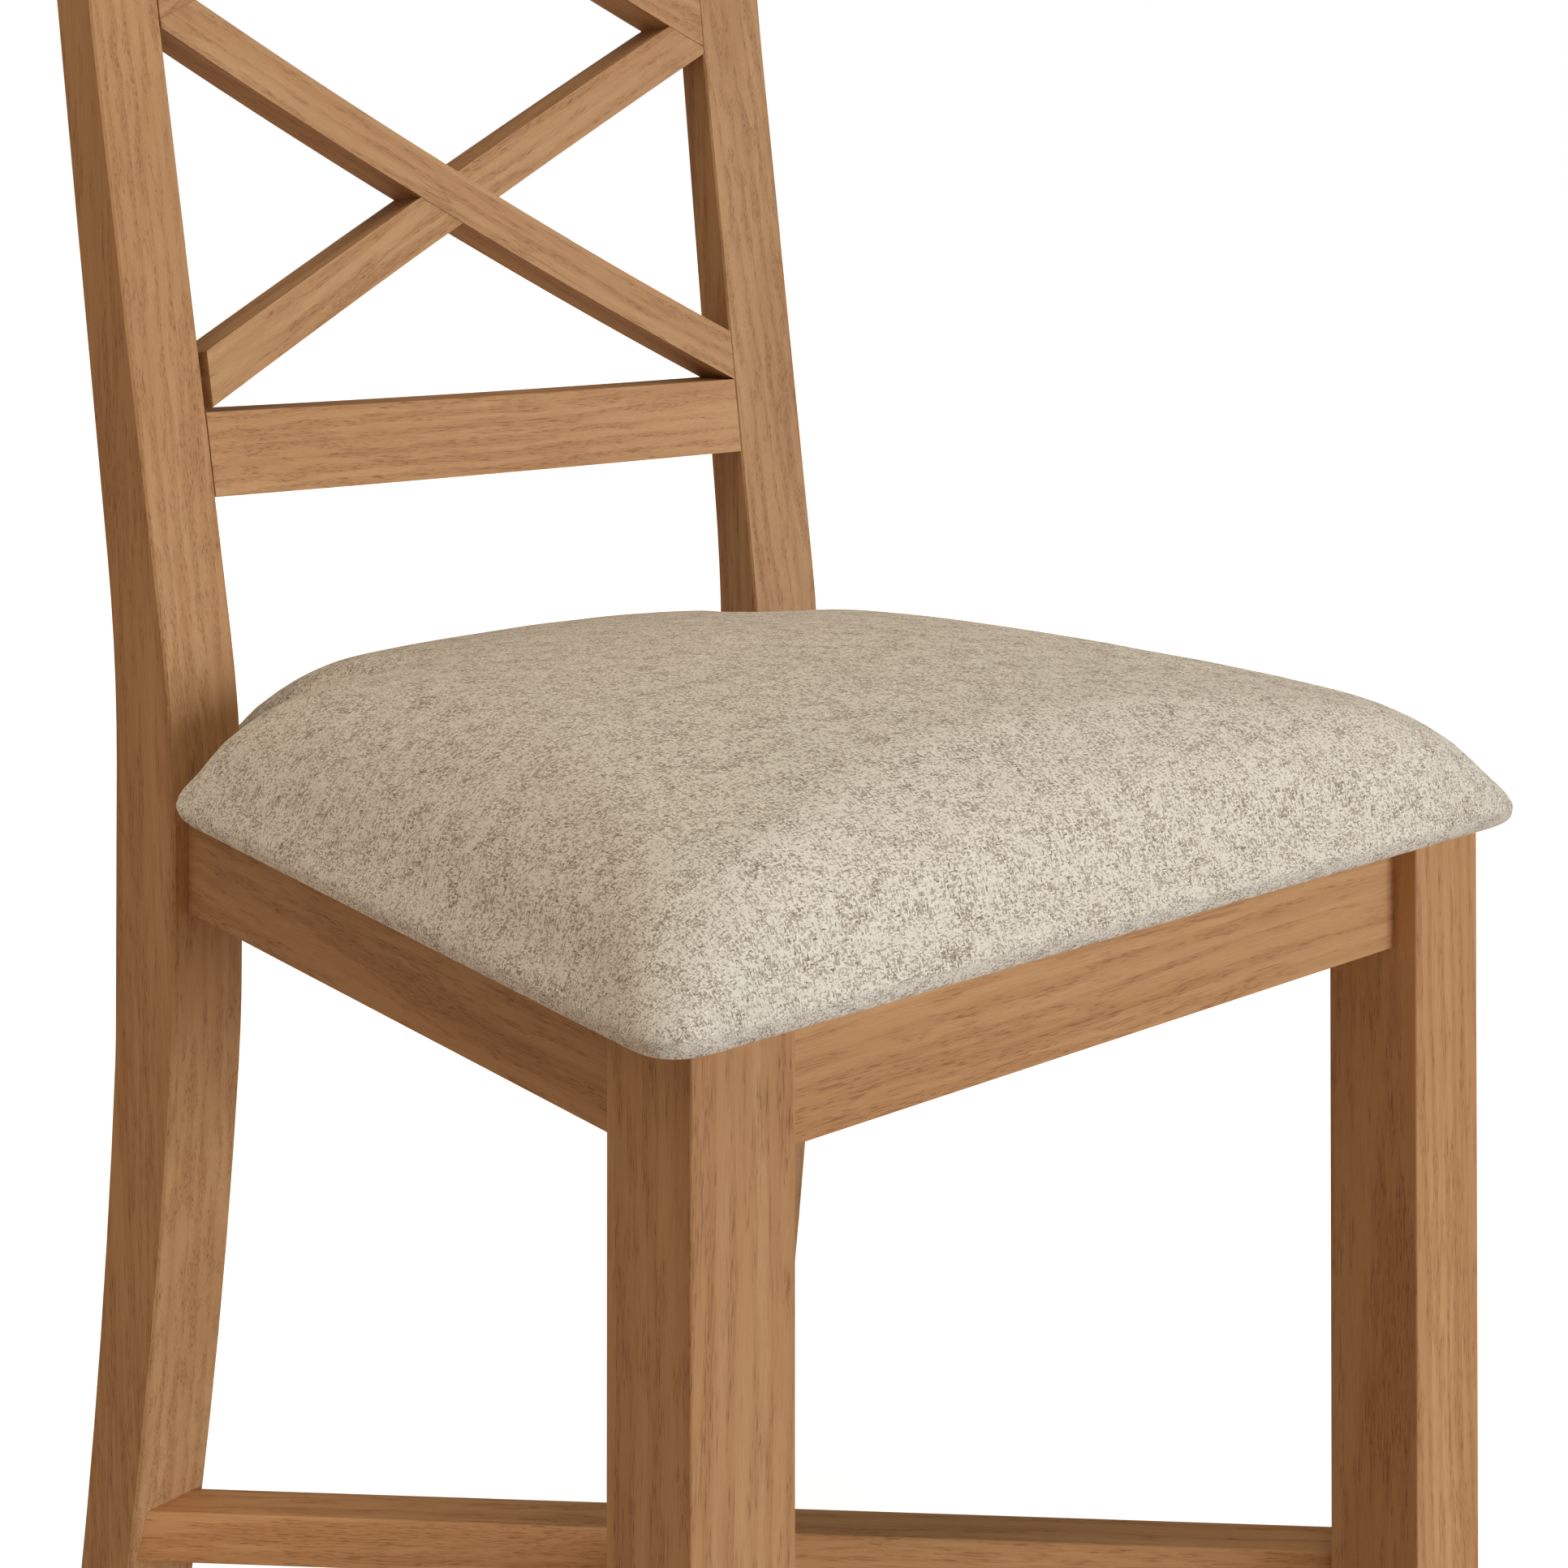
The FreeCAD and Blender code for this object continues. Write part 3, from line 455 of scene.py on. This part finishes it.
def tree_of(names):
    """A search tree of the surfaces of some pieces."""
    joined = bmesh.new()
    for name in names:
        joined.from_mesh(nodes[name].data)
    tree = BVHTree.FromBMesh(joined)
    joined.free()
    return tree


pad_mesh = applied(pad)
print("Pad skin has", len(pad_mesh.vertices), "points")

# %% [markdown]
# The melted skin is even, but its edges have gone soft. Each point is laid back on the outside of the
# solid pieces: it steps out of the pad first, so that the nearest face is the outer one. The seat board
# counts too, because the cover is open below and the middle of the underside would fly up to the top.
# Then the pad shrinks a little everywhere but at its foot, which leaves room for it to swell.

# %% Lay the skin on the cover
pad_low, pad_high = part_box("seat_cover")
outside = tree_of(pad_parts)
step_out = 0.004
slack = 0.0030
foot_band = 0.006
full_band = 0.022
softening_rounds = 2
crown_rounds = 14
crown_height = 0.034


def smooth_share(value, low, high):
    share = min(1.0, max(0.0, (value - low) / (high - low)))
    return share * share * (3 - 2 * share)


skin = bmesh.new()
skin.from_mesh(pad_mesh)
skin.normal_update()
for vertex in skin.verts:
    vertex.co = outside.find_nearest(vertex.co + vertex.normal * step_out)[0]
for round_number in range(softening_rounds):
    bmesh.ops.smooth_vert(skin, verts=skin.verts, factor=0.5, use_axis_x=True, use_axis_y=True,
                          use_axis_z=True)
crown = [vertex for vertex in skin.verts if vertex.co.z > pad_low.z + crown_height]
for round_number in range(crown_rounds):
    bmesh.ops.smooth_vert(skin, verts=crown, factor=0.5, use_axis_x=True, use_axis_y=True, use_axis_z=True)
skin.normal_update()
for vertex in skin.verts:
    share = smooth_share(vertex.co.z - pad_low.z, foot_band, full_band)
    vertex.co -= vertex.normal * slack * share
skin.to_mesh(pad_mesh)
skin.free()
print("Pad skin spans", tuple(round(side, 4) for side in pad.dimensions))

# %% [markdown]
# ## Blowing the pad up
# Pressure pushes every point outwards, and the cloth's own pull keeps the skin tight. Points near the
# posts and on the rails must not swell into the wood, so each one may move only as far as it has room.
# Left free, every point would go further than that. So the cloth says which way each point goes, and the
# room how far.

# %% Room round the pad
wood = tree_of([name for name in nodes if name not in pad_parts + ["dust_cloth", "seat_screws"]])
swell_cap = 0.0055
wood_gap = 0.0008
start = [vertex.co.copy() for vertex in pad_mesh.vertices]
room = []
for point in start:
    share = smooth_share(point.z - pad_low.z, 0.0, full_band)
    nearest = wood.find_nearest(point)
    room.append(max(0.0, min(swell_cap * share, nearest[3] - wood_gap)))
print("Most room", round(max(room), 4), "for", len(room), "points")

# %% Cloth
pressure = 4.0
last_frame = 20
cloth = pad.modifiers.new("cover", "CLOTH")
cloth.settings.use_pressure = True
cloth.settings.uniform_pressure_force = pressure
cloth.settings.quality = 5
cloth.settings.mass = 0.3
cloth.settings.effector_weights.gravity = 0.0
cloth.settings.tension_stiffness = 15.0
cloth.settings.bending_stiffness = 2.0
for number in range(1, last_frame + 1):
    bpy.context.scene.frame_set(number)
pad_mesh = applied(pad)
bpy.context.scene.frame_set(1)
moves = []
for vertex, first, reach in zip(pad_mesh.vertices, start, room):
    move = vertex.co - first
    moves.append(move.length)
    if move.length > reach:
        vertex.co = first + move.normalized() * reach
    vertex.co.z = max(vertex.co.z, pad_low.z)
print("Largest free move", round(max(moves), 4), "mean", round(sum(moves) / len(moves), 4))

# %% [markdown]
# The foam presses the foot of the cover out into a full roll, which almost hides where it turns under.
# Points below the widest line move outwards, most of all at the very bottom. In front of the posts there
# is no space for a roll, so it fades out before them.

# %% Roll at the foot
flat_margin = 0.060
widest_height = 0.0085
roll = 0.0034
roll_shape = 1.4
post_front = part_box("left_rear_post")[0].y
fade_start = 0.050
fade_end = 0.012


def outside_flat(point):
    """How far a point lies outside the flat middle of the pad, across and back."""
    inner_x = min(max(point.x, pad_low.x + flat_margin), pad_high.x - flat_margin)
    inner_y = min(max(point.y, pad_low.y + flat_margin), pad_high.y - flat_margin)
    return Vector((point.x - inner_x, point.y - inner_y, 0.0))


def below_widest(point):
    """1 at the foot of the pad and 0 from its widest line upwards."""
    return min(1.0, max(0.0, (pad_low.z + widest_height - point.z) / widest_height))


for vertex in pad_mesh.vertices:
    clear = 1.0 - smooth_share(vertex.co.y, post_front - fade_start, post_front - fade_end)
    push = roll * below_widest(vertex.co) ** roll_shape * clear
    vertex.co += outside_flat(vertex.co) * (push / flat_margin)
print("Rolled the foot of the cover")

# %% [markdown]
# ## Laying the weave on the pad
# Cloth has a direction: its threads run across and back over the top and then down over the sides. A flat
# map from above would smear on the sides, so near the edges the map goes on outwards as the cloth goes
# down. The further a point lies outside the flat middle, the more of its drop is added. Below the widest
# line the cloth turns back under the pad, and the map has to keep going outwards there.

# %% Weave map
subdivide = pad.modifiers.new("finer skin", "SUBSURF")
subdivide.levels = 1
subdivide.render_levels = 1
pad_mesh = applied(pad)
top = pad_high.z
side_stretch = 0.65
tuck = 0.37
weave_map = pad_mesh.uv_layers.new(name="weave")
for loop in pad_mesh.loops:
    point = pad_mesh.vertices[loop.vertex_index].co
    drop = (top - point.z) * side_stretch / flat_margin + tuck * below_widest(point)
    spot = point + outside_flat(point) * drop
    weave_map.data[loop.index].uv = (spot.x, spot.y)
for polygon in pad_mesh.polygons:
    polygon.use_smooth = True
print("Pad has", len(pad_mesh.polygons), "faces")

# %% [markdown]
# ## Tweed
# The cloth is a twill of cream and oatmeal yarn with flecks of taupe. Every yarn changes colour along its
# length, and the weave shows it for three threads at a time and then hides it under the other set. That
# is where the short dashes come from, and why the dark ones gather in loose crossing clouds. The finish
# copies this: it numbers the threads both ways, gives each its own changing tone, and lets the weave
# choose which one lies on top. A slow sway bends the threads and a fast slip breaks the weave's steps,
# because real cloth is never quite regular.

# %% Tweed finish
yarn_cream = colour(249, 250, 240)
yarn_oat = colour(231, 228, 214)
yarn_taupe = colour(174, 163, 146)
yarn_dark = colour(112, 100, 86)
thread = 0.00062
float_length = 6
wide_sway, wide_sway_scale = 1.5, 90.0
fine_sway, fine_sway_scale = 0.9, 700.0
slip, slip_scale = 0.7, 620.0
cloud, cloud_scale = 0.42, 75.0
yarn_apart = 3.7
yarn_change = 0.13
warp_seed = 11.0
weft_seed = 57.0


def tweed_finish():
    tweed = Finish("tweed")
    place = tweed.node("ShaderNodeUVMap", {"uv_map": "weave"})
    sway = tweed.noise(place, wide_sway_scale) * wide_sway
    sway = sway + tweed.noise(place, fine_sway_scale, 1.0) * fine_sway
    threads = tweed.stretched(place, (0, 0, 0), (1 / thread, 1 / thread, 1.0))
    across = tweed.node("ShaderNodeSeparateXYZ", None, [threads], output="X") + sway
    back = tweed.node("ShaderNodeSeparateXYZ", None, [threads], output="Y") + sway
    warp_number = across.math("FLOOR")
    weft_number = back.math("FLOOR")

    def yarn(number, along, seed):
        place_in_yarn = [number * yarn_apart + seed, along * yarn_change, 0.0]
        spot = tweed.node("ShaderNodeCombineXYZ", None, place_in_yarn)
        return tweed.node("ShaderNodeTexNoise", {"noise_dimensions": "2D"},
                          {"Vector": spot, "Scale": 1.0, "Detail": 3.0, "Roughness": 0.75})

    warp = yarn(warp_number, back, warp_seed)
    weft = yarn(weft_number, across, weft_seed)
    uneven = (tweed.noise(place, slip_scale, 1.0) - 0.5) * slip
    step = (warp_number + weft_number) * (1 / float_length) + uneven
    warp_on_top = step.math("FRACT").math("LESS_THAN", 0.5)
    tone = warp * warp_on_top + weft * (1 - warp_on_top)
    warp_round = (across.math("FRACT") - 0.5).math("ABSOLUTE")
    weft_round = (back.math("FRACT") - 0.5).math("ABSOLUTE")
    round_part = warp_round * warp_on_top + weft_round * (1 - warp_on_top)

    level = tone + (tweed.noise(place, cloud_scale, 4.0, 0.65) - 0.5) * cloud
    base = tweed.mix(tweed.between(tone, 0.35, 0.60), yarn_cream, yarn_oat)
    base = tweed.mix(tweed.between(level, 0.48, 0.58) * 0.76, base, yarn_taupe)
    base = tweed.mix(tweed.between(level, 0.60, 0.72) * 0.82, base, yarn_dark)
    # Painted shade: each thread turns darker towards its edges, where it dips between its neighbours.
    base = tweed.mix(tweed.between(round_part, 0.30, 0.5) * 0.40, base, yarn_taupe)
    tweed.set("Base Color", base)
    tweed.set("Roughness", 0.92)
    tweed.set("Specular IOR Level", 0.2)
    tweed.set("Sheen Weight", 0.15)
    tweed.set("Sheen Roughness", 0.5)
    tweed.bump(0.5 - round_part, 0.6, 0.0005)
    return tweed.material


pad_mesh.materials.clear()
pad_mesh.materials.append(tweed_finish())
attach(pad, "root")
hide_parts("seat_cover", "seat_foam")
print("Pad upholstered")

# %% [markdown]
# ## Studio
# The chair stands on a pale floor that runs out of the picture. A wide, soft lamp stands low at the front
# right and lights the fronts. Two warmer ones hang over the chair, one of them to its left, for the top of
# the seat and a little of the left sides. The floor throws their light back up, so the foot of the seat
# doesn't turn grey, and a dim light from all round fills the last shadows. The white round the chair is a
# glow of the floor that only the camera sees. Lamps strong enough to make it white would bleach the wood.

# %% Floor
floor_size = 30.0
floor_colour = (0.71, 0.60, 0.53, 1.0)
floor_glow = 0.86
floor_mesh = bpy.data.meshes.new("floor")
ground = bmesh.new()
bmesh.ops.create_grid(ground, x_segments=1, y_segments=1, size=floor_size)
ground.to_mesh(floor_mesh)
ground.free()
floor = bpy.data.objects.new("floor", floor_mesh)
bpy.context.scene.collection.objects.link(floor)


def floor_finish():
    pale = Finish("pale_floor")
    pale.set("Base Color", floor_colour)
    pale.set("Roughness", 0.9)
    pale.set("Specular IOR Level", 0.0)
    paint = Wire(pale, pale.shader.outputs[0])
    seen = pale.node("ShaderNodeEmission", None, {"Color": (1.0, 1.0, 1.0, 1.0), "Strength": floor_glow})
    both = pale.node("ShaderNodeAddShader", None, [paint, seen])
    by_camera = pale.node("ShaderNodeLightPath", output="Is Camera Ray")
    shown = pale.node("ShaderNodeMixShader", None, [by_camera, paint, both])
    pale.plug(pale.tree.nodes["Material Output"].inputs["Surface"], shown)
    return pale.material


floor_mesh.materials.append(floor_finish())
floor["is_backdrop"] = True

# %% [markdown]
# ## Light from all round
# A dim warm world reaches what the lamps leave dark. A picture of a studio would do that too, but it would
# show in the picture's ground. Here the camera sees plain white, and everything else sees the warm fill.

# %% World
fill_level = 0.20
fill_colour = (1.0, 0.87, 0.74, 1.0)
world = bpy.data.worlds.new("studio")
world.use_nodes = True
bpy.context.scene.world = world
sky = world.node_tree
fill = sky.nodes["Background"]
fill.inputs["Color"].default_value = fill_colour
fill.inputs["Strength"].default_value = fill_level
backdrop = sky.nodes.new("ShaderNodeBackground")
backdrop.inputs["Color"].default_value = (1.0, 1.0, 1.0, 1.0)
path = sky.nodes.new("ShaderNodeLightPath")
choice = sky.nodes.new("ShaderNodeMixShader")
sky.links.new(path.outputs["Is Camera Ray"], choice.inputs["Fac"])
sky.links.new(fill.outputs[0], choice.inputs[1])
sky.links.new(backdrop.outputs[0], choice.inputs[2])
sky.links.new(choice.outputs[0], sky.nodes["World Output"].inputs["Surface"])
print("World and floor ready")

# %% [markdown]
# ## The lamps
# All three are suns, whose light is equally strong on near and far pieces, where a lamp close by would
# bleach the nearest leg. A sun's angle is its size as seen from the chair. Wide ones give the soft edges
# that the shadows of a studio have.

# %% Lamps
def lamp(name, right, height, strength, softness, tint):
    """A distant lamp, placed by its angles to the right of the chair's front and above the floor."""
    data = bpy.data.lights.new(name, "SUN")
    data.energy = strength
    data.angle = math.radians(softness)
    data.color = tint
    made = bpy.data.objects.new(name, data)
    made.rotation_euler = (math.radians(90 - height), 0.0, math.radians(right))
    bpy.context.scene.collection.objects.link(made)
    print(name, height, "degrees up,", right, "degrees to the right")


lamp("key_light", right=18.0, height=4.0, strength=2.4, softness=30.0, tint=(0.97, 1.02, 1.09))
lamp("side_light", right=-75.0, height=62.0, strength=0.58, softness=60.0, tint=(1.0, 0.79, 0.60))
lamp("top_light", right=-75.0, height=84.0, strength=0.85, softness=60.0, tint=(1.0, 0.84, 0.70))
bpy.context.scene.view_settings.view_transform = "Standard"

# %% [markdown]
# ## Size of the finished chair
# The finished chair has to fill the same box as its solid pieces, give or take the cloth. Here its box is
# measured.

# %% Measure the finished size
low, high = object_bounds()
